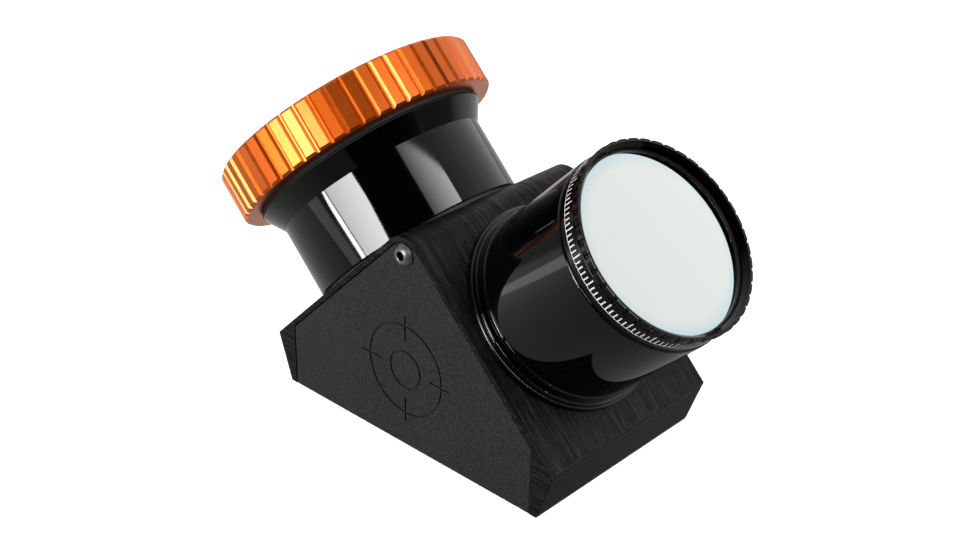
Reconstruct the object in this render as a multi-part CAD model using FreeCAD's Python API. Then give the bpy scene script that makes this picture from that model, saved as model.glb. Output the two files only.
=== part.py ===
import FreeCAD, Part
import math
import os

# Star diagonal for 2 inch telescope accessories. All lengths are in millimetres.
# The object stands on its hypotenuse: z = 0 is the resting face, +Y runs across the housing.
# The two optical axes cross above the origin. The nose leaves towards +X and up,
# the eyepiece holder leaves towards -X and up, and both lie at 45 degrees.

# Housing
CROSSING_Z = 13.67
HALF_WIDTH = 30.28
EDGE_RADIUS = 0.25
RIM_CHAMFER = 0.15
BASE_HALF_LENGTH = 44.31
SHOULDER_X = 48.91
SHOULDER_Z = 13.36
APEX_Z = 62.27
RIDGE_RADIUS = 7.0
PORT_S = (APEX_Z - CROSSING_Z) / math.sqrt(2.0)
PORT_THREAD_R = 25.0
PORT_THREAD_DEPTH = 5.0
LIGHT_R = 23.6

# Side plates, set flush in pockets of the housing
PLATE_THICKNESS = 3.0
POCKET_APEX_Z = 60.34
POCKET_HALF_LENGTH = 42.3
POCKET_RADIUS = 6.0
POCKET_CORNER = 1.2
PLATE_GAP = 0.25
PLATE_CHAMFER = 0.22
PLATE_SCREW_Z = 54.9
TONGUE_Z = (4.5, 6.5)
TONGUE_HALF_LENGTH = 30.0
TONGUE_DEPTH = 1.2
TONGUE_GAP = 0.15
MARK_Z = 22.5
MARK_RINGS = (5.2, 12.6)
MARK_TICK = (8.2, 15.4)
GROOVE_WIDTH = 0.55
GROOVE_DEPTH = 0.4

# Mirror and back plate
MIRROR_HALF = (35.9, 24.4)
MIRROR_THICKNESS = 9.5
MIRROR_POCKET_HALF = (36.2, 24.7)
MIRROR_POCKET_TOP = 14.0
MIRROR_CORNER = 3.0
BACK_PLATE_THICKNESS = 3.0
BACK_PLATE_HALF = (42.1, 25.4)
BACK_POCKET_HALF = (42.25, 25.55)
BACK_SCREW_XY = (39.3, 18.0)
BACK_SCREW_LENGTH = 10.0
PAD_XY = (31.0, 20.8)
PAD_R = 1.8
PRESSURE_PAD_HALF = (29.0, 18.0)

# M3 screws
M3_R = 1.5
M3_HOLE_R = 1.65
BUTTON_HEAD_R = 2.85
BUTTON_HEAD_TOP = 1.65
BUTTON_SOCKET_DEPTH = 1.15
SOCKET_HEX = 2.0
COUNTERBORE_R = 3.15
COUNTERBORE_DEPTH = 0.35
SCREW_SLACK = 0.02
COUNTERSUNK_HEAD_R = 2.8
COUNTERSUNK_SINK = 0.25
LOCK_SCREW_R = 1.25
LOCK_SCREW_BACK = 2.4
LOCK_SCREW_HEX = 1.3

# Nose barrel, measured along its axis from the crossing
BARREL_R = 25.4
BARREL_END_S = 70.2
FLANGE_STEPS = ((27.4, 36.4), (26.8, 37.6), (25.8, 39.6))
EDGE_ROUND = 0.35
BARREL_BORE_R = 23.3
FILTER_THREAD_R = 24.0
FILTER_THREAD_FLOOR_S = 66.9
THREAD_CLEARANCE = 0.06

# Filter
FILTER_R = 25.1
FILTER_BACK_S = 70.3
KNURL_BACK_S = 75.6
FILTER_FRONT_S = 77.2
KNURL_R = 25.32
KNURL_FLOOR_R = 24.85
KNURL_COUNT = 43
KNURL_GAP = 0.9
KNURL_CROWN = 0.14
SPIGOT_S = 67.9
SPIGOT_BORE_R = 22.4
GLASS_R = 23.5
GLASS_S = (72.55, 74.25)
SEAT_R = 23.65
SEAT_TOP_S = 74.9
RETAINER_R = 23.1
RETAINER_HEIGHT = 0.55

# Eyepiece holder and twist-lock collar, measured along the axis from the crossing
HOLDER_R = 29.6
SOCKET_R = 25.45
SOCKET_FLOOR_S = 36.9
HOLDER_SEAT_S = 35.2
FLARE_S = (55.4, 61.0, 61.7)
FLARE_R = 33.1
JOURNAL_R = 31.1
NECK_R = 29.0
COLLAR_S = (62.35, 76.1)
COLLAR_R = 37.6
COLLAR_CHAMFER = 0.75
COLLAR_LANDS = 54
COLLAR_TURN = 1.03
LAND_WIDTH = 2.65
LAND_ROOT_WIDTH = 3.85
LAND_HEIGHT = 0.6
SNAP_GROOVE_S = (63.58, 64.46)
SNAP_GROOVE_R = 30.2
RUNNING_GAP = 0.06
TOP_RING_DROP = 1.5
TOP_RING_R = 34.25
SLEEVE_R = 33.0
SLEEVE_S = (65.9, 74.1)
RING_S = (67.2, 71.6)
RING_R = (28.7, 27.5)
RING_BORE_R = 25.8
KEY_S = 66.2
KEY_R = 0.6
KEY_ANGLES = (90, 210, 330)
KEY_REACH = (27.0, 30.6)

X_AXIS = FreeCAD.Vector(1, 0, 0)
Y_AXIS = FreeCAD.Vector(0, 1, 0)
Z_AXIS = FreeCAD.Vector(0, 0, 1)
CROSSING = FreeCAD.Vector(0, 0, CROSSING_Z)
NOSE_AXIS = FreeCAD.Vector(1, 0, 1).normalize()
EYE_AXIS = FreeCAD.Vector(-1, 0, 1).normalize()


def on_axis(shape, axis):
    """Moves a shape built round +Z at the origin onto an optical axis, measured from the crossing."""
    placed = shape.copy()
    turn = FreeCAD.Rotation(Y_AXIS.cross(axis), Y_AXIS, axis)
    placed.Placement = FreeCAD.Placement(CROSSING, turn).multiply(placed.Placement)
    return placed


def rounded_face(corners):
    """Flat face in the XZ plane from (x, z) corners, any of which may carry a fillet radius."""
    edges = []
    ends = []
    count = len(corners)
    for i in range(count):
        here = FreeCAD.Vector(corners[i][0], 0, corners[i][1])
        if len(corners[i]) == 2:
            ends.append((here, here))
            continue
        radius = corners[i][2]
        back = (FreeCAD.Vector(corners[i - 1][0], 0, corners[i - 1][1]) - here).normalize()
        ahead = corners[(i + 1) % count]
        ahead = (FreeCAD.Vector(ahead[0], 0, ahead[1]) - here).normalize()
        half = back.getAngle(ahead) / 2.0
        reach = radius / math.tan(half)
        middle = (back + ahead).normalize()
        centre = here + middle * (radius / math.sin(half))
        first = here + back * reach
        last = here + ahead * reach
        ends.append((first, last))
        edges.append(Part.Arc(first, centre - middle * radius, last).toShape())
    for i in range(count):
        edges.append(Part.makeLine(ends[i - 1][1], ends[i][0]))
    return Part.Face(Part.Wire(Part.__sortEdges__(edges)))


def lathe(profile):
    """Solid of revolution round Z from (radius, height) corners, which may carry a fillet radius."""
    return rounded_face(profile).revolve(FreeCAD.Vector(0, 0, 0), Z_AXIS, 360)


def tube(inner, outer, low, high):
    """Plain ring round Z."""
    return lathe(((inner, low), (outer, low), (outer, high), (inner, high)))


def rod(radius, start, direction, length):
    """Plain cylinder from a start point."""
    return Part.makeCylinder(radius, length, FreeCAD.Vector(*start), FreeCAD.Vector(*direction))


def slab(low, high):
    """Box between two corners."""
    size = [b - a for a, b in zip(low, high)]
    return Part.makeBox(size[0], size[1], size[2], FreeCAD.Vector(*low))


def rounded_slab(half, low, high, radius):
    """Box centred on Z with rounded upright edges."""
    box = slab((-half[0], -half[1], low), (half[0], half[1], high))
    upright = [e for e in box.Edges if abs(e.tangentAt(e.FirstParameter).z) > 0.9]
    return box.makeFillet(radius, upright)


def outline_prism(corners, y_low, y_high):
    """Prism along Y from (x, z) corners, which may carry a fillet radius."""
    prism = rounded_face(corners).extrude(FreeCAD.Vector(0, y_high - y_low, 0))
    prism.translate(FreeCAD.Vector(0, y_low, 0))
    return prism


def mirrored(shape):
    """The same shape on the other side of the housing."""
    return shape.mirror(FreeCAD.Vector(0, 0, 0), Y_AXIS)


def joined(shapes):
    """Separate solids in one file."""
    return Part.makeCompound(list(shapes))


def hexagon(across_flats, low, high):
    """Hexagonal prism round Z."""
    radius = across_flats / math.sqrt(3.0)
    points = []
    for i in range(7):
        angle = math.radians(60 * i)
        points.append(FreeCAD.Vector(radius * math.cos(angle), radius * math.sin(angle), low))
    return Part.Face(Part.makePolygon(points)).extrude(FreeCAD.Vector(0, 0, high - low))


def housing_prism():
    """Outer block of the housing with its ridge radius and softened edges."""
    corners = (
        (-BASE_HALF_LENGTH, 0.0, EDGE_RADIUS),
        (BASE_HALF_LENGTH, 0.0, EDGE_RADIUS),
        (SHOULDER_X, SHOULDER_Z, EDGE_RADIUS),
        (0.0, APEX_Z, RIDGE_RADIUS),
        (-SHOULDER_X, SHOULDER_Z, EDGE_RADIUS),
    )
    prism = outline_prism(corners, -HALF_WIDTH, HALF_WIDTH)
    rims = [
        e
        for e in prism.Edges
        if abs(abs(e.BoundBox.YMin) - HALF_WIDTH) < 1e-4 and e.BoundBox.YLength < 1e-4
    ]
    return prism.makeChamfer(RIM_CHAMFER, rims)


def pocket_corners(inset):
    """Outline of a side pocket, open at the resting face, or of the plate in it."""
    half = POCKET_HALF_LENGTH - inset
    apex = POCKET_APEX_Z - inset * math.sqrt(2.0)
    bottom = -1.0 if inset == 0.0 else 0.05
    return (
        (-half, bottom),
        (half, bottom),
        (half, apex - half, POCKET_CORNER),
        (0.0, apex, POCKET_RADIUS - inset),
        (-half, apex - half, POCKET_CORNER),
    )


def light_path():
    """Clear way of the light above the mirror."""
    way = []
    for axis in (NOSE_AXIS, EYE_AXIS):
        way.append(on_axis(rod(LIGHT_R, (0, 0, -30), (0, 0, 1), PORT_S + 31), axis))
    above = slab((-60, -30, MIRROR_POCKET_TOP - 0.1), (60, 30, 80))
    return way[0].fuse(way[1]).common(above)


def housing():
    body = housing_prism()
    pocket = outline_prism(pocket_corners(0.0), -HALF_WIDTH - 1.0, -HALF_WIDTH + PLATE_THICKNESS)
    floor = -HALF_WIDTH + PLATE_THICKNESS
    reach = TONGUE_HALF_LENGTH + 2.0 * TONGUE_GAP
    groove = slab(
        (-reach, floor - 0.5, TONGUE_Z[0] - TONGUE_GAP),
        (reach, floor + TONGUE_DEPTH + TONGUE_GAP, TONGUE_Z[1] + TONGUE_GAP),
    )
    tapped = rod(M3_R, (0, -HALF_WIDTH, PLATE_SCREW_Z), (0, 1, 0), 11.0)
    for tool in (pocket, groove, tapped):
        body = body.cut(tool).cut(mirrored(tool))
    body = body.cut(rounded_slab(MIRROR_POCKET_HALF, 1.0, MIRROR_POCKET_TOP, MIRROR_CORNER))
    body = body.cut(rounded_slab(BACK_POCKET_HALF, -1.0, BACK_PLATE_THICKNESS, MIRROR_CORNER))
    body = body.cut(light_path())
    for axis in (NOSE_AXIS, EYE_AXIS):
        thread = lathe(
            (
                (0, PORT_S - PORT_THREAD_DEPTH),
                (PORT_THREAD_R, PORT_S - PORT_THREAD_DEPTH),
                (PORT_THREAD_R, PORT_S - 0.3),
                (PORT_THREAD_R + 0.3, PORT_S),
                (PORT_THREAD_R + 0.3, PORT_S + 3),
                (0, PORT_S + 3),
            )
        )
        body = body.cut(on_axis(thread, axis))
        lock = lock_screw_place(axis)
        body = body.cut(rod(LOCK_SCREW_R, (lock.x, -HALF_WIDTH, lock.z), (0, 1, 0), 7.0))
    for x, y in back_screw_places():
        body = body.cut(rod(M3_R, (x, y, 0), (0, 0, 1), 12.0))
    return body


def reticle(y_face):
    """Engraving of a plain reticle: two rings and four ticks, sunk into the outer face."""
    half = GROOVE_WIDTH / 2.0
    top = GROOVE_DEPTH + 1.0
    inner, outer = MARK_RINGS
    cut = tube(outer - half, outer + half, 0.0, top)
    cut = cut.fuse(tube(inner - half, inner + half, 0.0, top))
    for i in range(4):
        tick = slab((MARK_TICK[0], -half, 0.0), (MARK_TICK[1], half, top))
        tick.rotate(FreeCAD.Vector(0, 0, 0), Z_AXIS, 90 * i)
        cut = cut.fuse(tick)
    cut.rotate(FreeCAD.Vector(0, 0, 0), X_AXIS, 90)
    cut.translate(FreeCAD.Vector(0, y_face + GROOVE_DEPTH, MARK_Z))
    return cut


def side_plate():
    """Cover on the -Y side: screw at its apex, tongue near its lower edge."""
    face = -HALF_WIDTH
    floor = -HALF_WIDTH + PLATE_THICKNESS
    plate = outline_prism(pocket_corners(PLATE_GAP), face, floor)
    rims = [
        e
        for e in plate.Edges
        if abs(e.BoundBox.YMin - face) < 1e-4 and e.BoundBox.YLength < 1e-4
    ]
    plate = plate.makeChamfer(PLATE_CHAMFER, rims)
    tongue = slab(
        (-TONGUE_HALF_LENGTH, floor - 0.5, TONGUE_Z[0]),
        (TONGUE_HALF_LENGTH, floor + TONGUE_DEPTH, TONGUE_Z[1]),
    )
    plate = plate.fuse(tongue)
    plate = plate.cut(rod(M3_HOLE_R, (0, face - 1, PLATE_SCREW_Z), (0, 1, 0), PLATE_THICKNESS + 2))
    plate = plate.cut(rod(COUNTERBORE_R, (0, face - 1, PLATE_SCREW_Z), (0, 1, 0), 1 + COUNTERBORE_DEPTH))
    return plate.cut(reticle(face))


def button_screw():
    """M3 button-head screw with a hex socket. Its head stands proud of the -Y side plate."""
    shank = M3_R - SCREW_SLACK
    top = BUTTON_HEAD_TOP
    seat = -COUNTERBORE_DEPTH
    socket_mouth = 1.4
    screw = lathe(
        (
            (0, -8.0),
            (shank - 0.2, -8.0),
            (shank, -7.7),
            (shank, seat),
            (BUTTON_HEAD_R, seat),
            (BUTTON_HEAD_R, 0.3),
            (BUTTON_HEAD_R * 0.84, top * 0.66, 1.6),
            (socket_mouth + 0.35, top, 0.3),
            (socket_mouth, top),
            (SOCKET_HEX / 2.0, top - 0.35),
            (0, top - 0.35),
        )
    )
    screw = screw.cut(hexagon(SOCKET_HEX, top - BUTTON_SOCKET_DEPTH, top + 1))
    screw.rotate(FreeCAD.Vector(0, 0, 0), X_AXIS, 90)
    screw.translate(FreeCAD.Vector(0, -HALF_WIDTH, PLATE_SCREW_Z))
    return screw


def lock_screw_place(axis):
    """Point on an optical axis level with the set screw that locks its barrel."""
    return CROSSING + axis * (PORT_S - LOCK_SCREW_BACK)


def thread_lock_screws():
    """Set screws under the -Y side plate, one on each barrel's thread."""
    floor = -HALF_WIDTH + PLATE_THICKNESS
    tip = -PORT_THREAD_R
    screws = []
    for axis in (NOSE_AXIS, EYE_AXIS):
        at = lock_screw_place(axis)
        screw = rod(LOCK_SCREW_R - SCREW_SLACK, (at.x, floor + 0.1, at.z), (0, 1, 0), tip - floor - 0.15)
        socket = hexagon(LOCK_SCREW_HEX, -1.0, 1.2)
        socket.rotate(FreeCAD.Vector(0, 0, 0), X_AXIS, -90)
        socket.translate(FreeCAD.Vector(at.x, floor, at.z))
        screws.append(screw.cut(socket))
    return joined(screws)


def back_screw_places():
    return [(sx * BACK_SCREW_XY[0], sy * BACK_SCREW_XY[1]) for sx in (-1, 1) for sy in (-1, 1)]


def countersink(radius, top):
    """90 degree cone that opens downwards at z = 0, with a straight shank above it."""
    profile = (
        (0, -0.5),
        (radius, -0.5),
        (radius, 0),
        (M3_HOLE_R, radius - M3_HOLE_R),
        (M3_HOLE_R, top),
        (0, top),
    )
    return lathe(profile)


def back_plate():
    plate = rounded_slab(BACK_PLATE_HALF, 0.0, BACK_PLATE_THICKNESS, MIRROR_CORNER - 0.15)
    for x, y in back_screw_places():
        hole = countersink(COUNTERSUNK_HEAD_R + COUNTERSUNK_SINK, BACK_PLATE_THICKNESS + 1.0)
        hole.translate(FreeCAD.Vector(x, y, 0))
        plate = plate.cut(hole)
    return plate


def back_plate_screws():
    sink = COUNTERSUNK_SINK
    head = COUNTERSUNK_HEAD_R - SCREW_SLACK
    shank = M3_R - SCREW_SLACK
    tip = BACK_SCREW_LENGTH
    screws = []
    for x, y in back_screw_places():
        screw = lathe(
            (
                (0, sink),
                (head, sink),
                (shank, sink + head - shank),
                (shank, tip - 0.2),
                (shank - 0.3, tip),
                (0, tip),
            )
        )
        screw = screw.cut(hexagon(SOCKET_HEX, -0.5, sink + 1.2))
        screw.translate(FreeCAD.Vector(x, y, 0))
        screws.append(screw)
    return joined(screws)


def mirror():
    low = CROSSING_Z - MIRROR_THICKNESS
    glass = rounded_slab(MIRROR_HALF, low, CROSSING_Z, MIRROR_CORNER)
    rims = [e for e in glass.Edges if e.BoundBox.ZLength < 1e-4]
    return glass.makeChamfer(0.4, rims)


def mirror_support_pads():
    """Thin discs between the mirror's coated face and the corners of the housing's ledge."""
    thickness = MIRROR_POCKET_TOP - CROSSING_Z
    places = [(sx * PAD_XY[0], sy * PAD_XY[1]) for sx in (-1, 1) for sy in (-1, 1)]
    return joined(rod(PAD_R, (x, y, CROSSING_Z), (0, 0, 1), thickness) for x, y in places)


def mirror_pressure_pad():
    """Soft sheet that pushes the mirror up against its pads."""
    return rounded_slab(PRESSURE_PAD_HALF, BACK_PLATE_THICKNESS, CROSSING_Z - MIRROR_THICKNESS, 4.0)


def nose_seat_ring():
    radius, top = FLANGE_STEPS[0]
    ring = lathe(
        (
            (PORT_THREAD_R + 0.05, PORT_S + 0.3),
            (PORT_THREAD_R + 0.35, PORT_S),
            (radius, PORT_S),
            (radius, top, EDGE_ROUND),
            (PORT_THREAD_R + 0.05, top),
        )
    )
    return on_axis(ring, NOSE_AXIS)


def nose_barrel():
    thread = PORT_THREAD_R - THREAD_CLEARANCE
    back = PORT_S - PORT_THREAD_DEPTH + 0.2
    seat = FLANGE_STEPS[0][1]
    (r1, s1), (r2, s2) = FLANGE_STEPS[1:]
    profile = (
        (thread - 0.4, back),
        (thread, back + 0.4),
        (thread, seat),
        (r1 - 0.1, seat),
        (r1, seat + 0.1),
        (r1, s1, EDGE_ROUND),
        (r2, s1),
        (r2, s2, EDGE_ROUND),
        (BARREL_R, s2),
        (BARREL_R, BARREL_END_S, EDGE_ROUND),
        (FILTER_THREAD_R + 0.25, BARREL_END_S),
        (FILTER_THREAD_R, BARREL_END_S - 0.25),
        (FILTER_THREAD_R, FILTER_THREAD_FLOOR_S),
        (BARREL_BORE_R, FILTER_THREAD_FLOOR_S),
        (BARREL_BORE_R, back),
    )
    return on_axis(lathe(profile), NOSE_AXIS)


def grooved_prism():
    """Prism round Z whose outline is the collar's ring of flat lands with sloped grooves between them."""
    root = COLLAR_R - LAND_HEIGHT
    land = (
        (-LAND_ROOT_WIDTH / 2.0, root),
        (-LAND_WIDTH / 2.0, COLLAR_R),
        (LAND_WIDTH / 2.0, COLLAR_R),
        (LAND_ROOT_WIDTH / 2.0, root),
    )
    low = COLLAR_S[0] - 1.0
    points = []
    for i in range(COLLAR_LANDS):
        middle = 2.0 * math.pi * i / COLLAR_LANDS
        for across, radius in land:
            angle = middle + across / radius
            points.append(FreeCAD.Vector(radius * math.cos(angle), radius * math.sin(angle), low))
    wire = Part.makePolygon(points + points[:1])
    prism = Part.Face(wire).extrude(FreeCAD.Vector(0, 0, COLLAR_S[1] + 1.0 - low))
    prism.rotate(FreeCAD.Vector(0, 0, 0), Z_AXIS, COLLAR_TURN)
    return prism


def crowned_knurl():
    """Front band of the filter: crowned lands with narrow grooves between them."""
    step = 2.0 * math.pi / KNURL_COUNT
    groove = KNURL_GAP / KNURL_R / 2.0
    edges = []
    for i in range(KNURL_COUNT):
        low = i * step + groove
        high = (i + 1) * step - groove
        land = [
            (KNURL_R - KNURL_CROWN, low),
            (KNURL_R, (low + high) / 2.0),
            (KNURL_R - KNURL_CROWN, high),
            (KNURL_FLOOR_R, high + groove * 0.4),
            (KNURL_FLOOR_R, high + groove * 1.6),
            (KNURL_R - KNURL_CROWN, high + groove * 2.0),
        ]
        p = [FreeCAD.Vector(r * math.cos(a), r * math.sin(a), KNURL_BACK_S) for r, a in land]
        edges.append(Part.Arc(p[0], p[1], p[2]).toShape())
        edges.extend(Part.makeLine(p[k], p[k + 1]) for k in (2, 3, 4))
    wire = Part.Wire(Part.__sortEdges__(edges))
    return Part.Face(wire).extrude(FreeCAD.Vector(0, 0, FILTER_FRONT_S - KNURL_BACK_S))


def filter_cell():
    """Filter ring: plain rear band, knurled front band, spigot behind and thread in front."""
    spigot = FILTER_THREAD_R - THREAD_CLEARANCE
    band = KNURL_BACK_S - 0.3
    body = lathe(
        (
            (spigot - 0.3, SPIGOT_S),
            (spigot, SPIGOT_S + 0.3),
            (spigot, FILTER_BACK_S),
            (FILTER_R, FILTER_BACK_S, EDGE_ROUND),
            (FILTER_R, band, 0.12),
            (FILTER_R - 0.35, band),
            (KNURL_FLOOR_R - 0.1, KNURL_BACK_S),
            (KNURL_FLOOR_R - 0.1, FILTER_FRONT_S),
            (FILTER_THREAD_R + 0.4, FILTER_FRONT_S),
            (FILTER_THREAD_R, FILTER_FRONT_S - 0.4),
            (FILTER_THREAD_R, SEAT_TOP_S),
            (SEAT_R, SEAT_TOP_S),
            (SEAT_R, GLASS_S[0]),
            (SPIGOT_BORE_R, GLASS_S[0]),
            (SPIGOT_BORE_R, SPIGOT_S),
        )
    )
    envelope = lathe(
        (
            (FILTER_THREAD_R + 0.6, KNURL_BACK_S),
            (KNURL_R + 0.1, KNURL_BACK_S, 0.2),
            (KNURL_R + 0.1, FILTER_FRONT_S, 0.4),
            (FILTER_THREAD_R + 0.6, FILTER_FRONT_S),
        )
    )
    return on_axis(body.fuse(crowned_knurl().common(envelope)), NOSE_AXIS)


def filter_glass():
    low, high = GLASS_S
    bevel = 0.15
    disc = lathe(
        (
            (0, low),
            (GLASS_R - bevel, low),
            (GLASS_R, low + bevel),
            (GLASS_R, high - bevel),
            (GLASS_R - bevel, high),
            (0, high),
        )
    )
    return on_axis(disc, NOSE_AXIS)


def filter_retainer():
    """Thin threaded ring in front of the disc, with two spanner slots."""
    low = GLASS_S[1]
    high = low + RETAINER_HEIGHT
    outer = SEAT_R - 0.04
    ring = lathe(
        (
            (RETAINER_R, low),
            (outer, low),
            (outer, high),
            (RETAINER_R + 0.15, high),
            (RETAINER_R, high - 0.15),
        )
    )
    ring = ring.cut(slab((-30, -0.6, low + 0.25), (30, 0.6, high + 1.0)))
    return on_axis(ring, NOSE_AXIS)


def holder_seat_ring():
    """Recessed ring in the shadow gap between the holder and its port."""
    ring = tube(PORT_THREAD_R + 0.35, 28.5, PORT_S, HOLDER_SEAT_S)
    return on_axis(ring, EYE_AXIS)


def eyepiece_holder():
    thread = PORT_THREAD_R - THREAD_CLEARANCE
    back = PORT_S - PORT_THREAD_DEPTH + 0.2
    top = RING_S[0]
    profile = (
        (LIGHT_R, back),
        (thread - 0.4, back),
        (thread, back + 0.4),
        (thread, HOLDER_SEAT_S),
        (HOLDER_R, HOLDER_SEAT_S, EDGE_ROUND),
        (HOLDER_R, FLARE_S[0]),
        (FLARE_R, FLARE_S[1]),
        (FLARE_R, FLARE_S[2], EDGE_ROUND),
        (JOURNAL_R, FLARE_S[2]),
        (JOURNAL_R, SNAP_GROOVE_S[0]),
        (SNAP_GROOVE_R, SNAP_GROOVE_S[0]),
        (SNAP_GROOVE_R, SNAP_GROOVE_S[1]),
        (JOURNAL_R, SNAP_GROOVE_S[1]),
        (JOURNAL_R, SNAP_GROOVE_S[1] + 0.44),
        (NECK_R, SNAP_GROOVE_S[1] + 0.64),
        (NECK_R, top),
        (SOCKET_R, top),
        (SOCKET_R, SOCKET_FLOOR_S),
        (LIGHT_R, SOCKET_FLOOR_S),
    )
    body = lathe(profile)
    for angle in KEY_ANGLES:
        body = body.cut(key_pin(angle, KEY_R, KEY_REACH[0], KEY_REACH[1] + 0.4))
    return on_axis(body, EYE_AXIS)


def key_pin(angle, radius, near, far):
    """Radial pin at a height along the holder."""
    way = (math.cos(math.radians(angle)), math.sin(math.radians(angle)), 0)
    return rod(radius, (way[0] * near, way[1] * near, KEY_S), way, far - near)


def sleeve_keys():
    pins = (key_pin(angle, KEY_R - 0.01, KEY_REACH[0], KEY_REACH[1]) for angle in KEY_ANGLES)
    return on_axis(joined(pins), EYE_AXIS)


def thrust_sleeve():
    """Sleeve that the collar's thread drives down. Its cone closes the compression ring."""
    low, high = SLEEVE_S
    slope = (RING_R[0] - RING_R[1]) / (RING_S[1] - RING_S[0])
    cone_low = 67.8
    cone_r = RING_R[0] + 0.18 - (cone_low - RING_S[0]) * slope
    top_r = RING_R[1] + 0.18 - 0.3 * slope
    body = lathe(
        (
            (NECK_R + 0.08, low),
            (SLEEVE_R - 0.3, low),
            (SLEEVE_R, low + 0.3),
            (SLEEVE_R, high - 0.3),
            (SLEEVE_R - 0.3, high),
            (26.9, high),
            (26.5, high - 0.4),
            (26.5, RING_S[1] + 0.9),
            (top_r, RING_S[1] + 0.9),
            (top_r, RING_S[1] + 0.3),
            (cone_r, cone_low),
            (NECK_R + 0.08, cone_low),
        )
    )
    for angle in KEY_ANGLES:
        slot = slab((NECK_R - 1.0, -KEY_R - 0.08, low - 1.0), (31.0, KEY_R + 0.08, 67.5))
        slot.rotate(FreeCAD.Vector(0, 0, 0), Z_AXIS, angle)
        body = body.cut(slot)
    return on_axis(body, EYE_AXIS)


def compression_ring():
    """Split brass ring round the eyepiece, conical outside."""
    low, high = RING_S
    body = lathe(((RING_BORE_R, low), (RING_R[0], low), (RING_R[1], high), (RING_BORE_R, high)))
    body = body.cut(slab((20, -0.6, low - 1), (40, 0.6, high + 1)))
    return on_axis(body, EYE_AXIS)


def collar_glide_washer():
    return on_axis(tube(JOURNAL_R + 0.1, 32.3, FLARE_S[2], COLLAR_S[0]), EYE_AXIS)


def collar_snap_ring():
    """Open spring ring in the holder's groove. It keeps the collar on."""
    low, high = SNAP_GROOVE_S
    body = tube(SNAP_GROOVE_R + 0.05, 32.7, low + 0.04, high - 0.04)
    body = body.cut(slab((-40, -2.0, low - 1.0), (-20, 2.0, high + 1.0)))
    return on_axis(body, EYE_AXIS)


def collar_grip():
    """Grooved grip of the twist lock, turned inside to run on the holder and to take the sleeve."""
    low, high = COLLAR_S
    bore = SLEEVE_R + RUNNING_GAP
    journal = JOURNAL_R + RUNNING_GAP + 0.01
    top_seat = high - TOP_RING_DROP
    ring_seat_r = TOP_RING_R + 0.05
    outer = COLLAR_R + 0.05
    flat_r = outer - COLLAR_CHAMFER
    floor = SNAP_GROOVE_S[0] - 0.08
    body = lathe(
        (
            (journal, low),
            (flat_r, low),
            (outer, low + COLLAR_CHAMFER),
            (outer, high - COLLAR_CHAMFER),
            (flat_r, high),
            (ring_seat_r + 0.3, high),
            (ring_seat_r, high - 0.3),
            (ring_seat_r, top_seat),
            (bore, top_seat),
            (bore, floor),
            (journal, floor),
        )
    )
    return on_axis(body.common(grooved_prism()), EYE_AXIS)


def collar_top_ring():
    high = COLLAR_S[1] - 0.25
    low = COLLAR_S[1] - TOP_RING_DROP
    mouth = 26.6
    ring = lathe(
        (
            (mouth, low),
            (TOP_RING_R, low),
            (TOP_RING_R, high),
            (mouth + 1.4, high),
            (mouth, high - 0.8),
        )
    )
    for angle in (0, 90, 180, 270):
        hole = rod(0.9, (31.2, 0, high - 0.8), (0, 0, 1), 2.0)
        hole.rotate(FreeCAD.Vector(0, 0, 0), Z_AXIS, angle + 45)
        ring = ring.cut(hole)
    return on_axis(ring, EYE_AXIS)


PIECES = {
    "housing": housing,
    "side_plate_left": side_plate,
    "side_plate_right": lambda: mirrored(side_plate()),
    "side_plate_screws": lambda: joined((button_screw(), mirrored(button_screw()))),
    "back_plate": back_plate,
    "back_plate_screws": back_plate_screws,
    "mirror": mirror,
    "mirror_support_pads": mirror_support_pads,
    "mirror_pressure_pad": mirror_pressure_pad,
    "thread_lock_screws": thread_lock_screws,
    "nose_seat_ring": nose_seat_ring,
    "nose_barrel": nose_barrel,
    "filter_cell": filter_cell,
    "filter_glass": filter_glass,
    "filter_retainer": filter_retainer,
    "holder_seat_ring": holder_seat_ring,
    "eyepiece_holder": eyepiece_holder,
    "sleeve_keys": sleeve_keys,
    "thrust_sleeve": thrust_sleeve,
    "compression_ring": compression_ring,
    "collar_glide_washer": collar_glide_washer,
    "collar_snap_ring": collar_snap_ring,
    "collar_grip": collar_grip,
    "collar_top_ring": collar_top_ring,
}

os.makedirs("parts", exist_ok=True)
for name, make in PIECES.items():
    shape = make()
    solids = shape.Solids
    print(name, len(solids), round(sum(s.Volume for s in solids), 1), shape.isValid())
    shape.exportStep("parts/" + name + ".step")
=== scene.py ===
import bpy
import math
from mathutils import Matrix, Vector

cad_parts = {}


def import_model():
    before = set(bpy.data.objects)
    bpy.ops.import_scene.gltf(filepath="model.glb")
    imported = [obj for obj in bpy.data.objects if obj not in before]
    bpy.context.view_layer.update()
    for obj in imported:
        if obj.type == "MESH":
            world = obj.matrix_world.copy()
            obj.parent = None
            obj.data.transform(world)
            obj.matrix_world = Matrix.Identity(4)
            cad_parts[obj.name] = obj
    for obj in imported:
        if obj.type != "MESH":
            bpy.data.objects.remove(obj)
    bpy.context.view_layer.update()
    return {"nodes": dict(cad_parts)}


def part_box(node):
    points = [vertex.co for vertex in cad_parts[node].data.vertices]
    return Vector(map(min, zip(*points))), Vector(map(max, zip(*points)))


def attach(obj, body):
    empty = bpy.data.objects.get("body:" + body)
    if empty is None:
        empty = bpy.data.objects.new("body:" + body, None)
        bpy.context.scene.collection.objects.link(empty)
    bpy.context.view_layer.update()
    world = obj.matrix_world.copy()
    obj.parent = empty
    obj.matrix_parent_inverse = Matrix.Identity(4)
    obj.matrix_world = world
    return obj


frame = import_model()

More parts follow.
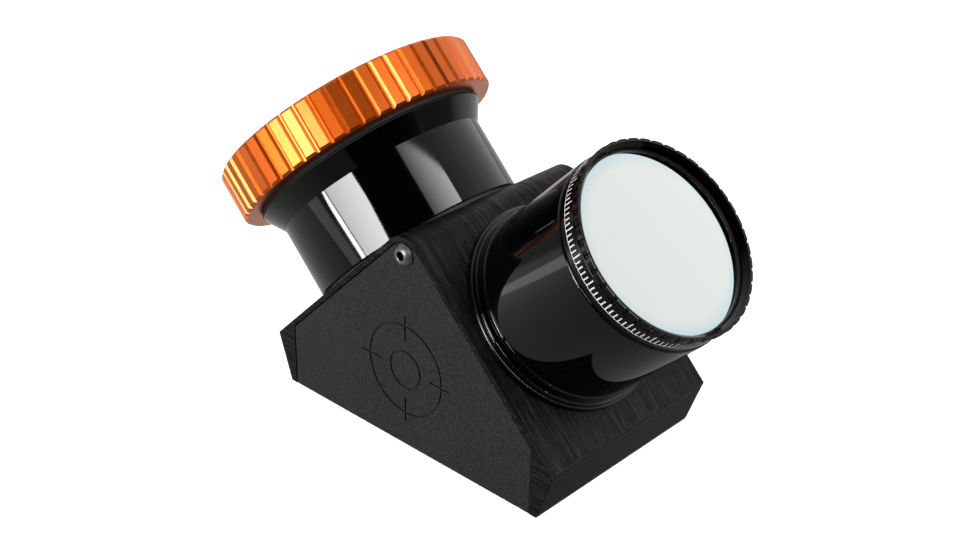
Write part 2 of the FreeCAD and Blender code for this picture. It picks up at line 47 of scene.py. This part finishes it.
# The scene is in metres, in the frame of the CAD model: the object stands on its resting face, the nose
# leaves towards +X and up and the eyepiece holder towards -X and up. Lengths on the object are written in
# millimetres and multiplied by MM. Places along an optical axis are measured from where the axes cross.
# Azimuth 0 points along -Y and azimuth 90 along +X.
MM = 0.001
SIDE_AXIS = Vector((0, 1, 0))
NOSE_AXIS = Vector((1, 0, 1)).normalized()
EYE_AXIS = Vector((-1, 0, 1)).normalized()
MIRROR_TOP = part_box("mirror")[1].z
CROSSING = Vector((0, 0, MIRROR_TOP))

# Camera, placed as seen from its target
CAMERA_AZIMUTH = 42.03
CAMERA_ELEVATION = 28.09
CAMERA_ROLL = 1.37
CAMERA_DISTANCE = 0.4121
CAMERA_TARGET = Vector((-0.01376, 0.01537, 0.02686))
CAMERA_LENS = 55.45
CAMERA_SENSOR = 36.0

# What the camera sees of the studio: a pale floor and a white dome
FLOOR_HALF = 4.0
FLOOR_HEIGHT = -0.2 * MM
FLOOR_GLOW = 0.72
DOME_GLOW = 0.93
DOME_RINGS = 12
DOME_SPOKES = 48

# What the object's gloss sees below it: a table, with its dim and bright glow and the span between them,
# measured towards its bright side
TABLE_HEIGHT = -0.5 * MM
TABLE_TINT = (1.0, 0.99, 0.95, 1.0)
TABLE_GLOW = (0.17, 0.60)
TABLE_SPAN = (-0.07, 0.09)
TABLE_BRIGHT_AZIMUTH = -115.0

# Beyond the table's front left edge: the azimuth it faces and its distance, the sector that is seen (its
# middle and half its angle), the glow on the left and right of a split in X, and the dark distance
FRONT_EDGE = (-43.0, 0.231)
FRONT_SECTOR = (-50.0, 33.0)
FRONT_SPLIT_X = -0.278
FRONT_GLOW = (0.45, 1.40)
FRONT_FADE = (0.45, 0.62)
FRONT_FAR_GLOW = 0.16

# The table's other edges: azimuth and distance, sector, and the glow beyond
DARK_EDGES = (
    ((47.0, 0.128), (78.0, 34.0), 0.0),
    ((-133.0, 0.33), (-114.0, 21.0), 0.04),
)

# Lamps: how far each hangs from what it faces, their colour, and the azimuth and distance from the
# crossing of the point that the side box faces
LAMP_DISTANCE = 1.2
LAMP_TINT = (0.97, 0.985, 1.0)
SIDE_BOX_AIM = (175.0, 0.135)

# The world around the studio: direction and glow of its brightest part, and the cosine of the angle to
# that direction below which it is black
WORLD_DIRECTION = (-160.0, -8.0)
WORLD_GLOW = 1.25
WORLD_BLACK = -0.58

# Scale on the filter's band: places of its foot, of the top of a tick and of every fifth tick, half the
# width of its foot line, number of ticks, a tick's width as a share of a turn, and the least radius
SCALE_S = (72.1, 73.9, 74.7)
SCALE_FOOT_HALF = 0.09
SCALE_COUNT = 120
SCALE_TICK = 0.0022
SCALE_MIN_R = 24.6

# Thread in front of the filter's disc: span along the nose, crest and root radius, and outer radius
THREAD_S = (74.95, 76.75)
THREAD_CREST_R = 23.72
THREAD_ROOT_R = 23.94
THREAD_OUTER_R = 24.05
THREAD_RIDGES = 4
THREAD_SPOKES = 160

# Radii between which the filter's disc takes on its rim's colour
DISC_TINT_R = (19.5, 23.4)

# Radius of the socket of a side plate's screw, inside which the steel is painted dark as shade
SOCKET_SHADE_R = 1.18

# Housing: its shoulder edge in X and Z, the inner and outer radius of the smoother band along it, painted
# dark as shade, and how much longer than wide a brush stroke is
SHOULDER = (48.91, 13.36)
SHOULDER_BAND = (0.44, 1.1)
STROKE_STRETCH = 30.0

# Where the eyepiece holder turns matte under the collar, and how rough it is there
MATTE_LAND_S = 60.9
MATTE_LAND_ROUGHNESS = 0.9


def direction(azimuth, elevation=0.0):
    """Unit vector towards an azimuth and elevation in degrees."""
    a = math.radians(azimuth)
    e = math.radians(elevation)
    return Vector((math.sin(a) * math.cos(e), -math.cos(a) * math.cos(e), math.sin(e)))


# ---------------------------------------------------------------- node helpers


class Nodes:
    """Short calls for building a material's node tree."""

    def __init__(self, name):
        self.material = bpy.data.materials.new(name)
        self.material.use_nodes = True
        self.tree = self.material.node_tree
        self.bsdf = self.tree.nodes["Principled BSDF"]
        place = self.add("ShaderNodeTexCoord")
        self.position = place.outputs["Object"]
        self.normal = place.outputs["Normal"]

    def add(self, kind, **settings):
        node = self.tree.nodes.new(kind)
        for key, value in settings.items():
            setattr(node, key, value)
        return node

    def feed(self, socket, value):
        """Links a socket to another, or sets its value."""
        if isinstance(value, bpy.types.NodeSocket):
            self.tree.links.new(value, socket)
        else:
            socket.default_value = value

    def math(self, operation, first, second=0.0):
        node = self.add("ShaderNodeMath", operation=operation)
        for socket, value in zip(node.inputs, (first, second)):
            self.feed(socket, value)
        return node.outputs[0]

    def product(self, first, second):
        return self.math("MULTIPLY", first, second)

    def hypotenuse(self, first, second):
        squares = self.math("ADD", self.product(first, first), self.product(second, second))
        return self.math("SQRT", squares)

    def vector(self, operation, first, second):
        node = self.add("ShaderNodeVectorMath", operation=operation)
        self.feed(node.inputs[0], first)
        self.feed(node.inputs[1], second)
        return node

    def dot(self, first, second):
        return self.vector("DOT_PRODUCT", first, second).outputs["Value"]

    def combine(self, x, y, z):
        node = self.add("ShaderNodeCombineXYZ")
        for socket, value in zip(node.inputs, (x, y, z)):
            self.feed(socket, value)
        return node.outputs[0]

    def noise(self, vector, scale, detail=2.0, roughness=0.5):
        node = self.add("ShaderNodeTexNoise")
        self.feed(node.inputs["Vector"], vector)
        node.inputs["Scale"].default_value = scale
        node.inputs["Detail"].default_value = detail
        node.inputs["Roughness"].default_value = roughness
        return node.outputs["Fac"]

    def rings(self, s, scale, detail=2.0, roughness=0.5):
        """Turning marks: noise that changes only along an axis."""
        return self.noise(self.combine(s, 0.0, 0.0), scale, detail, roughness)

    def ramp(self, value, low, high, from_low=0.0, from_high=1.0):
        """Value carried from one range to another, held at the ends."""
        node = self.add("ShaderNodeMapRange")
        self.feed(node.inputs["Value"], value)
        node.inputs["From Min"].default_value = from_low
        node.inputs["From Max"].default_value = from_high
        node.inputs["To Min"].default_value = low
        node.inputs["To Max"].default_value = high
        return node.outputs["Result"]

    def mix(self, kind, share, first, second):
        node = self.add("ShaderNodeMix", data_type=kind)
        self.feed(node.inputs["Factor"], share)
        self.feed(node.inputs["A"], first)
        self.feed(node.inputs["B"], second)
        return node.outputs["Result"]

    def mix_colour(self, share, first, second):
        return self.mix("RGBA", share, first, second)

    def mix_value(self, share, first, second):
        return self.mix("FLOAT", share, first, second)

    def bump(self, height, strength, distance):
        node = self.add("ShaderNodeBump")
        self.feed(node.inputs["Height"], height)
        node.inputs["Strength"].default_value = strength
        node.inputs["Distance"].default_value = distance
        return node.outputs["Normal"]

    def set(self, **values):
        """Sets or links sockets of the principled shader by name, with _ for a space."""
        for key, value in values.items():
            self.feed(self.bsdf.inputs[key.replace("_", " ")], value)

    def coordinate(self, axis):
        """Position along X, Y or Z, by its number."""
        pick = Vector((0, 0, 0))
        pick[axis] = 1
        return self.dot(self.position, pick)

    def away_from(self, point):
        """Vector from a fixed point to the shaded one."""
        return self.vector("SUBTRACT", self.position, point).outputs[0]

    def along(self, axis):
        """Distance from the crossing along an optical axis."""
        return self.dot(self.away_from(CROSSING), axis)

    def distance_from(self, axis):
        """Distance from an optical axis."""
        out = self.away_from(CROSSING)
        s = self.dot(out, axis)
        return self.math("SQRT", self.math("SUBTRACT", self.dot(out, out), self.product(s, s)))


def grey(value):
    return (value, value, value, 1.0)


# ---------------------------------------------------------------- materials


def gloss_black(name, axis, ior, smooth=0.03, matte_from=None):
    """Polished black anodising with faint turning marks round an optical axis.

    Past the place matte_from along the axis it is left matte.
    """
    m = Nodes(name)
    s = m.along(axis)
    rings = m.rings(s, 5200.0, 3.0, 0.6)
    patches = m.noise(m.position, 55.0, 3.0)
    roughness = m.ramp(rings, smooth, smooth + 0.04, 0.3, 0.7)
    if matte_from is not None:
        past = m.math("GREATER_THAN", s, matte_from * MM)
        roughness = m.mix_value(past, roughness, MATTE_LAND_ROUGHNESS)
    m.set(
        Base_Color=m.mix_colour(patches, grey(0.0003), grey(0.0008)),
        Roughness=roughness,
        IOR=ior,
        Normal=m.bump(rings, 0.10, 0.000012),
    )
    return m.material


def scale_marks(m, s):
    """Share of the filter's pale scale: 1 on its ticks and on its foot line, 0 elsewhere."""
    out = m.away_from(CROSSING)
    turn = m.math("ARCTAN2", m.dot(out, NOSE_AXIS.cross(SIDE_AXIS)), m.dot(out, SIDE_AXIS))
    graduation = m.product(turn, SCALE_COUNT / (2.0 * math.pi))
    step = m.math("ABSOLUTE", m.math("SUBTRACT", m.math("FRACT", graduation), 0.5))
    line = m.math("LESS_THAN", step, 0.5 * SCALE_TICK * SCALE_COUNT)
    fifth = m.math("FRACT", m.math("DIVIDE", m.math("FLOOR", graduation), 5.0))
    foot = SCALE_S[0] * MM
    top = m.mix_value(m.math("LESS_THAN", fifth, 0.1), SCALE_S[1] * MM, SCALE_S[2] * MM)
    tick = m.product(m.product(line, m.math("GREATER_THAN", s, foot)), m.math("LESS_THAN", s, top))
    from_foot = m.math("ABSOLUTE", m.math("SUBTRACT", s, foot))
    mark = m.math("MAXIMUM", tick, m.math("LESS_THAN", from_foot, SCALE_FOOT_HALF * MM))
    outside = m.math("GREATER_THAN", m.distance_from(NOSE_AXIS), SCALE_MIN_R * MM)
    return m.product(mark, outside)


def filter_black(name):
    """Black filter ring with a pale scale round its plain band."""
    m = Nodes(name)
    s = m.along(NOSE_AXIS)
    mark = scale_marks(m, s)
    rings = m.rings(s, 5200.0, 3.0, 0.6)
    wear = m.noise(m.position, 900.0, 3.0)
    m.set(
        Base_Color=m.mix_colour(mark, grey(0.0010), m.mix_colour(wear, grey(0.42), grey(0.68))),
        Roughness=m.mix_value(mark, m.ramp(rings, 0.08, 0.15, 0.3, 0.7), 0.55),
        IOR=1.42,
        Normal=m.bump(rings, 0.2, 0.000015),
    )
    return m.material


def brush_strokes(m, side, end):
    """Height of the housing's finish: strokes down the slopes and along the sides, plain on the ends."""
    x, y, z = (m.coordinate(i) for i in range(3))
    wander = m.product(m.noise(m.position, 70.0, 2.0), 0.0012)
    across = m.math("ADD", y, wander)
    slope_place = m.combine(m.product(across, STROKE_STRETCH), x, z)
    coarse = m.noise(slope_place, 45.0, 3.0, 0.75)
    fine = m.noise(slope_place, 150.0, 2.0, 0.7)
    slope = m.math("ADD", m.product(coarse, 0.65), m.product(fine, 0.35))
    level = m.noise(m.combine(m.product(z, STROKE_STRETCH), x, y), 75.0, 3.0, 0.7)
    plain = m.ramp(m.noise(m.position, 260.0, 4.0, 0.6), 0.47, 0.53)
    return m.mix_value(end, m.mix_value(side, slope, level), plain)


def smooth_and_shaded_shoulder(m):
    """Share of the smoother band along the housing's two shoulder edges, which is also painted darker as
    shade.
    """
    beside = m.math("SUBTRACT", m.math("ABSOLUTE", m.coordinate(0)), SHOULDER[0] * MM)
    above = m.math("SUBTRACT", m.coordinate(2), SHOULDER[1] * MM)
    gap = m.hypotenuse(beside, above)
    return m.ramp(gap, 1.0, 0.0, SHOULDER_BAND[0] * MM, SHOULDER_BAND[1] * MM)


def brushed_black(name):
    """Black anodised housing with coarse brush strokes. Its side faces and the band along its shoulder
    edges are painted darker as shade.
    """
    m = Nodes(name)
    side = m.ramp(m.math("ABSOLUTE", m.dot(m.normal, (0, 1, 0))), 0.0, 1.0, 0.6, 0.8)
    end = m.ramp(m.math("ABSOLUTE", m.dot(m.normal, (1, 0, 0))), 0.0, 1.0, 0.80, 0.90)
    strokes = brush_strokes(m, side, end)
    edge = smooth_and_shaded_shoulder(m)
    sharp = m.math("POWER", m.ramp(strokes, 0.0, 1.0, 0.43, 0.62), 1.8)
    blotch = m.ramp(m.noise(m.position, 38.0, 3.0), 0.35, 1.0, 0.3, 0.7)
    # Painted shade: the tone falls to black in the band along the shoulder edges.
    shade = m.product(m.product(sharp, blotch), m.math("SUBTRACT", 1.0, edge))
    # Painted shade: the side faces' tone is taken down to 0.6.
    shade = m.product(shade, m.ramp(side, 1.0, 0.6))
    m.set(
        Base_Color=m.mix_colour(shade, (0.0003, 0.0003, 0.0004, 1), (0.0262, 0.0265, 0.0272, 1)),
        Roughness=m.mix_value(edge, m.ramp(strokes, 0.50, 0.30, 0.38, 0.62), 0.16),
        IOR=1.20,
        Normal=m.bump(strokes, 1.0, 0.00032),
    )
    return m.material


def blasted_black(name):
    """Fine bead-blasted and black anodised plate."""
    m = Nodes(name)
    grain = m.noise(m.position, 2700.0, 2.0, 0.7)
    cloud = m.noise(m.position, 30.0, 3.0)
    speck = m.ramp(grain, 0.0, 1.0, 0.38, 0.64)
    tone = m.product(speck, m.ramp(cloud, 0.75, 1.0, 0.3, 0.7))
    m.set(
        Base_Color=m.mix_colour(tone, (0.0014, 0.0015, 0.0018, 1), (0.0225, 0.0233, 0.0262, 1)),
        Roughness=m.ramp(cloud, 0.50, 0.58, 0.3, 0.7),
        IOR=1.31,
        Normal=m.bump(grain, 0.7, 0.00011),
    )
    return m.material


def orange_anodised(name):
    """Satin orange anodised aluminium: dyed metal under a clear, slightly rough oxide skin."""
    m = Nodes(name)
    grain = m.noise(m.position, 5200.0, 2.0, 0.6)
    cloud = m.noise(m.position, 160.0, 3.0)
    turned = m.rings(m.along(EYE_AXIS), 3500.0)
    tone = m.mix_value(0.45, cloud, turned)
    m.set(
        Base_Color=m.mix_colour(tone, (0.54, 0.088, 0.006, 1), (0.64, 0.125, 0.011, 1)),
        Metallic=1.0,
        Roughness=m.ramp(grain, 0.34, 0.44, 0.3, 0.7),
        Coat_Weight=0.25,
        Coat_Roughness=0.20,
        Coat_IOR=1.5,
        Normal=m.bump(grain, 0.12, 0.00003),
    )
    return m.material


def worn_steel(name, dark=0.0, socket=False):
    """Machined steel with stains. The sockets of the side plates' screws are painted dark as shade."""
    m = Nodes(name)
    stain = m.noise(m.position, 1400.0, 4.0, 0.65)
    high = 0.36 * (1.0 - dark) + 0.02
    stained = (high * 0.35, high * 0.34, high * 0.31, 1)
    clean = (high, high, high * 0.95, 1)
    colour = m.mix_colour(stain, stained, clean)
    if socket:
        low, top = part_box("side_plate_screws")
        out = m.away_from((low + top) / 2.0)
        radius = m.hypotenuse(m.dot(out, (1, 0, 0)), m.dot(out, (0, 0, 1)))
        # Painted shade: the screw's socket is coloured near black.
        colour = m.mix_colour(m.math("LESS_THAN", radius, SOCKET_SHADE_R * MM), colour, grey(0.012))
    m.set(
        Base_Color=colour,
        Metallic=1.0,
        Roughness=m.ramp(stain, 0.5, 0.28, 0.3, 0.7),
        Normal=m.bump(stain, 0.3, 0.00004),
    )
    return m.material


def brass(name):
    """Turned brass."""
    m = Nodes(name)
    rings = m.rings(m.along(EYE_AXIS), 7000.0)
    m.set(
        Base_Color=m.mix_colour(rings, (0.62, 0.42, 0.14, 1), (0.80, 0.60, 0.26, 1)),
        Metallic=1.0,
        Roughness=m.ramp(rings, 0.2, 0.34, 0.3, 0.7),
        Normal=m.bump(rings, 0.2, 0.00003),
    )
    return m.material


def coated_glass(name):
    """Interference filter: a nearly white mirror with a faint green tint, bluish at its rim."""
    m = Nodes(name)
    rim = m.ramp(m.distance_from(NOSE_AXIS), 0.0, 1.0, DISC_TINT_R[0] * MM, DISC_TINT_R[1] * MM)
    haze = m.noise(m.position, 120.0, 2.0)
    m.set(
        Base_Color=m.mix_colour(rim, (0.94, 0.985, 0.95, 1), (0.68, 0.88, 0.92, 1)),
        Metallic=1.0,
        Roughness=m.ramp(haze, 0.03, 0.05, 0.3, 0.7),
    )
    return m.material


def mirror_coating(name):
    """First-surface mirror on a ground glass block."""
    m = Nodes(name)
    face = m.ramp(m.coordinate(2), 0.0, 1.0, MIRROR_TOP - 0.02 * MM, MIRROR_TOP - 0.01 * MM)
    grain = m.noise(m.position, 3000.0, 2.0)
    m.set(
        Base_Color=m.mix_colour(face, (0.55, 0.60, 0.58, 1), (0.90, 0.92, 0.93, 1)),
        Metallic=face,
        Roughness=m.mix_value(face, m.ramp(grain, 0.5, 0.7), 0.02),
    )
    return m.material


def dull(name, low, high, roughness):
    """Plain matte material with a little variation."""
    m = Nodes(name)
    grain = m.noise(m.position, 2500.0, 2.0)
    m.set(
        Base_Color=m.mix_colour(grain, low, high),
        Roughness=m.ramp(grain, roughness - 0.05, roughness + 0.05, 0.3, 0.7),
        Normal=m.bump(grain, 0.2, 0.00005),
    )
    return m.material


def paint_nodes():
    """Gives every CAD node its material."""
    blasted = blasted_black("blasted_black")
    inner_black = dull("inner_black", grey(0.010), grey(0.018), 0.6)
    black_steel = worn_steel("black_steel", dark=0.9)
    looks = {
        "housing": brushed_black("brushed_black"),
        "side_plate_left": blasted,
        "side_plate_right": blasted,
        "side_plate_screws": worn_steel("worn_steel", socket=True),
        "back_plate": blasted,
        "back_plate_screws": black_steel,
        "mirror": mirror_coating("mirror_coating"),
        "mirror_support_pads": dull("pad_white", grey(0.6), grey(0.75), 0.6),
        "mirror_pressure_pad": dull("pad_black", grey(0.015), grey(0.03), 0.8),
        "thread_lock_screws": black_steel,
        "nose_seat_ring": gloss_black("seat_gloss_black", NOSE_AXIS, 1.62, smooth=0.14),
        "nose_barrel": gloss_black("nose_gloss_black", NOSE_AXIS, 1.58),
        "filter_cell": filter_black("filter_black"),
        "filter_glass": coated_glass("coated_glass"),
        "filter_retainer": dull(
            "retainer_black", (0.0030, 0.0018, 0.0012, 1), (0.010, 0.0055, 0.0032, 1), 0.35
        ),
        "holder_seat_ring": inner_black,
        "eyepiece_holder": gloss_black("holder_gloss_black", EYE_AXIS, 1.42, matte_from=MATTE_LAND_S),
        "sleeve_keys": worn_steel("key_steel"),
        "thrust_sleeve": inner_black,
        "compression_ring": brass("brass"),
        "collar_glide_washer": inner_black,
        "collar_snap_ring": worn_steel("spring_steel", dark=0.3),
        "collar_grip": orange_anodised("orange_anodised"),
        "collar_top_ring": gloss_black("eye_gloss_black", EYE_AXIS, 1.42),
    }
    for name, material in looks.items():
        mesh = frame["nodes"][name].data
        mesh.materials.clear()
        mesh.materials.append(material)


def thread_profile():
    """Outline of the thread ridges as radius and place along the nose, in millimetres."""
    low, high = THREAD_S
    pitch = (high - low) / THREAD_RIDGES
    profile = [(THREAD_OUTER_R, low), (THREAD_ROOT_R, low)]
    for i in range(THREAD_RIDGES):
        profile.append((THREAD_CREST_R, low + (i + 0.5) * pitch))
        profile.append((THREAD_ROOT_R, low + (i + 1.0) * pitch))
    profile.append((THREAD_OUTER_R, high))
    return profile


def filter_thread():
    """Fine thread in the mouth of the filter ring, as a closed ring of ridges."""
    profile = thread_profile()
    across = SIDE_AXIS.cross(NOSE_AXIS)
    points = []
    for k in range(THREAD_SPOKES):
        turn = 2.0 * math.pi * k / THREAD_SPOKES
        radial = across * math.cos(turn) + SIDE_AXIS * math.sin(turn)
        points.extend(CROSSING + (radial * radius + NOSE_AXIS * s) * MM for radius, s in profile)
    count = len(profile)
    faces = []
    for k in range(THREAD_SPOKES):
        here = k * count
        ahead = ((k + 1) % THREAD_SPOKES) * count
        for i in range(count):
            j = (i + 1) % count
            faces.append((here + i, here + j, ahead + j, ahead + i))
    mesh = bpy.data.meshes.new("filter_thread_ridges")
    mesh.from_pydata(points, [], faces)
    mesh.materials.append(gloss_black("thread_black", NOSE_AXIS, 1.5))
    piece = bpy.data.objects.new("filter_thread_ridges", mesh)
    bpy.context.scene.collection.objects.link(piece)
    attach(piece, "filter_ring")


# ---------------------------------------------------------------- floor, light and camera


def stage_piece(name, mesh, material, seen):
    """A surface of the studio. Either the camera sees it, or only the object's gloss and shade do."""
    piece = bpy.data.objects.new(name, mesh)
    bpy.context.scene.collection.objects.link(piece)
    mesh.materials.append(material)
    piece.visible_camera = seen
    piece.visible_diffuse = not seen
    piece.visible_glossy = not seen
    piece.visible_transmission = not seen
    piece.visible_shadow = False


def square(name, half, height):
    mesh = bpy.data.meshes.new(name)
    corners = [(-half, -half, height), (half, -half, height), (half, half, height), (-half, half, height)]
    mesh.from_pydata(corners, [], [(0, 1, 2, 3)])
    return mesh


def dome(name, radius):
    """Half sphere of quads, closed at its top by triangles."""
    points = []
    for i in range(DOME_RINGS):
        height = 0.5 * math.pi * i / DOME_RINGS
        flat = radius * math.cos(height)
        for k in range(DOME_SPOKES):
            turn = 2.0 * math.pi * k / DOME_SPOKES
            points.append((flat * math.cos(turn), flat * math.sin(turn), radius * math.sin(height)))
    points.append((0.0, 0.0, radius))
    faces = []
    for i in range(DOME_RINGS):
        low = i * DOME_SPOKES
        high = low + DOME_SPOKES
        for k in range(DOME_SPOKES):
            ahead = (k + 1) % DOME_SPOKES
            if i < DOME_RINGS - 1:
                faces.append((low + k, low + ahead, high + ahead, high + k))
            else:
                faces.append((low + k, low + ahead, high))
    mesh = bpy.data.meshes.new(name)
    mesh.from_pydata(points, [], faces)
    return mesh


def seen_floor():
    """Pale floor that glows faintly, as a light table does, and takes the shadows."""
    m = Nodes("floor_white")
    cloud = m.noise(m.position, 3.0, 2.0)
    m.set(
        Base_Color=m.mix_colour(cloud, grey(0.80), grey(0.83)),
        Roughness=0.9,
        Specular_IOR_Level=0.1,
        Emission_Color=grey(1.0),
        Emission_Strength=FLOOR_GLOW,
    )
    stage_piece("floor", square("floor", FLOOR_HALF, FLOOR_HEIGHT), m.material, True)


def seen_backdrop():
    """White dome behind everything."""
    m = Nodes("backdrop_white")
    m.set(
        Base_Color=grey(0.0),
        Specular_IOR_Level=0.0,
        Emission_Color=grey(1.0),
        Emission_Strength=DOME_GLOW,
    )
    stage_piece("backdrop", dome("backdrop", FLOOR_HALF), m.material, True)


def beyond(m, reach, edge, sector):
    """1 beyond a straight edge of the table, within a sector seen from the origin, and 0 elsewhere."""
    edge_azimuth, distance = edge
    middle, half_angle = sector
    past = m.math("GREATER_THAN", m.dot(m.position, direction(edge_azimuth)), distance)
    cosine = m.math("DIVIDE", m.dot(m.position, direction(middle)), m.math("MAXIMUM", reach, 0.001))
    within = m.math("GREATER_THAN", cosine, math.cos(math.radians(half_angle)))
    return m.product(past, within)


def felt_floor():
    """What the object's gloss sees of the table: bright on the left, dim towards the right front.

    Beyond its front left edge lie a bright surface, a dimmer one to the left of it and a dark distance.
    Beyond its other edges the studio is dark.
    """
    m = Nodes("table_glow")
    reach = m.hypotenuse(m.coordinate(0), m.coordinate(1))
    left = m.dot(m.position, direction(TABLE_BRIGHT_AZIMUTH))
    glow = m.ramp(left, TABLE_GLOW[0], TABLE_GLOW[1], TABLE_SPAN[0], TABLE_SPAN[1])
    right_part = m.math("GREATER_THAN", m.coordinate(0), FRONT_SPLIT_X)
    near_glow = m.mix_value(right_part, FRONT_GLOW[0], FRONT_GLOW[1])
    fade = m.ramp(reach, 0.0, 1.0, FRONT_FADE[0], FRONT_FADE[1])
    front_glow = m.mix_value(fade, near_glow, FRONT_FAR_GLOW)
    glow = m.mix_value(beyond(m, reach, FRONT_EDGE, FRONT_SECTOR), glow, front_glow)
    for edge, sector, dark_glow in DARK_EDGES:
        glow = m.mix_value(beyond(m, reach, edge, sector), glow, dark_glow)
    m.set(
        Base_Color=grey(0.0),
        Specular_IOR_Level=0.0,
        Emission_Color=TABLE_TINT,
        Emission_Strength=glow,
    )
    stage_piece("table_glow", square("table_glow", FLOOR_HALF, TABLE_HEIGHT), m.material, False)


def fade_across(light, fade):
    """Dims an area light from one side to the other, to fade times as bright, with the same power."""
    light.use_nodes = True
    tree = light.node_tree
    place = tree.nodes.new("ShaderNodeNewGeometry")
    split = tree.nodes.new("ShaderNodeSeparateXYZ")
    ramp = tree.nodes.new("ShaderNodeMapRange")
    ramp.inputs["To Min"].default_value = 2.0 * fade / (1.0 + fade)
    ramp.inputs["To Max"].default_value = 2.0 / (1.0 + fade)
    tree.links.new(place.outputs["Parametric"], split.inputs[0])
    tree.links.new(split.outputs["X"], ramp.inputs["Value"])
    tree.links.new(ramp.outputs["Result"], tree.nodes["Emission"].inputs["Strength"])


def softbox(name, azimuth, elevation, width, height, radiance, centre=CROSSING, fade=1.0):
    """Rectangular area light that faces a centre, seen from there at an azimuth and elevation."""
    light = bpy.data.lights.new(name, "AREA")
    light.shape = "RECTANGLE"
    light.size = width
    light.size_y = height
    light.energy = radiance * math.pi * width * height
    light.color = LAMP_TINT
    if fade != 1.0:
        fade_across(light, fade)
    lamp = bpy.data.objects.new(name, light)
    bpy.context.scene.collection.objects.link(lamp)
    away = direction(azimuth, elevation)
    turn = away.to_track_quat("Z", "Y").to_matrix()
    lamp.matrix_world = Matrix.Translation(centre + away * LAMP_DISTANCE) @ turn.to_4x4()
    lamp.visible_camera = False


def lamps():
    """Two soft lights in front and one at the side, which faces a point behind the object's middle."""
    softbox("front_box", -3.0, 15.6, 0.55, 0.52, 20.5, fade=0.6)
    softbox("front_strip", -13.5, -0.3, 0.19, 0.118, 33.0)
    aim = CROSSING + direction(SIDE_BOX_AIM[0]) * SIDE_BOX_AIM[1]
    softbox("side_box", 85.0, 44.0, 0.71, 0.60, 6.8, centre=aim, fade=0.15)


def world():
    """Studio around the object: pale behind it and dark behind the camera."""
    studio = bpy.data.worlds.new("studio")
    studio.use_nodes = True
    tree = studio.node_tree
    place = tree.nodes.new("ShaderNodeTexCoord")
    facing = tree.nodes.new("ShaderNodeVectorMath")
    facing.operation = "DOT_PRODUCT"
    facing.inputs[1].default_value = direction(*WORLD_DIRECTION)
    ramp = tree.nodes.new("ShaderNodeMapRange")
    ramp.inputs["From Min"].default_value = WORLD_BLACK
    ramp.inputs["To Max"].default_value = WORLD_GLOW
    tree.links.new(place.outputs["Generated"], facing.inputs[0])
    tree.links.new(facing.outputs["Value"], ramp.inputs["Value"])
    background = tree.nodes["Background"]
    background.inputs["Color"].default_value = grey(1.0)
    tree.links.new(ramp.outputs["Result"], background.inputs["Strength"])
    bpy.context.scene.world = studio


def camera():
    data = bpy.data.cameras.new("camera")
    data.sensor_width = CAMERA_SENSOR
    data.lens = CAMERA_LENS
    data.clip_start = 0.01
    data.clip_end = 50.0
    eye = bpy.data.objects.new("camera", data)
    bpy.context.scene.collection.objects.link(eye)
    back = direction(CAMERA_AZIMUTH, CAMERA_ELEVATION)
    right = Vector((0, 0, 1)).cross(back).normalized()
    up = back.cross(right)
    level = Matrix((right, up, back)).transposed()
    turn = level @ Matrix.Rotation(math.radians(CAMERA_ROLL), 3, "Z")
    eye.matrix_world = Matrix.Translation(CAMERA_TARGET + back * CAMERA_DISTANCE) @ turn.to_4x4()
    bpy.context.scene.camera = eye


paint_nodes()
filter_thread()
seen_floor()
seen_backdrop()
felt_floor()
lamps()
world()
camera()
bpy.context.scene.view_settings.view_transform = "Standard"
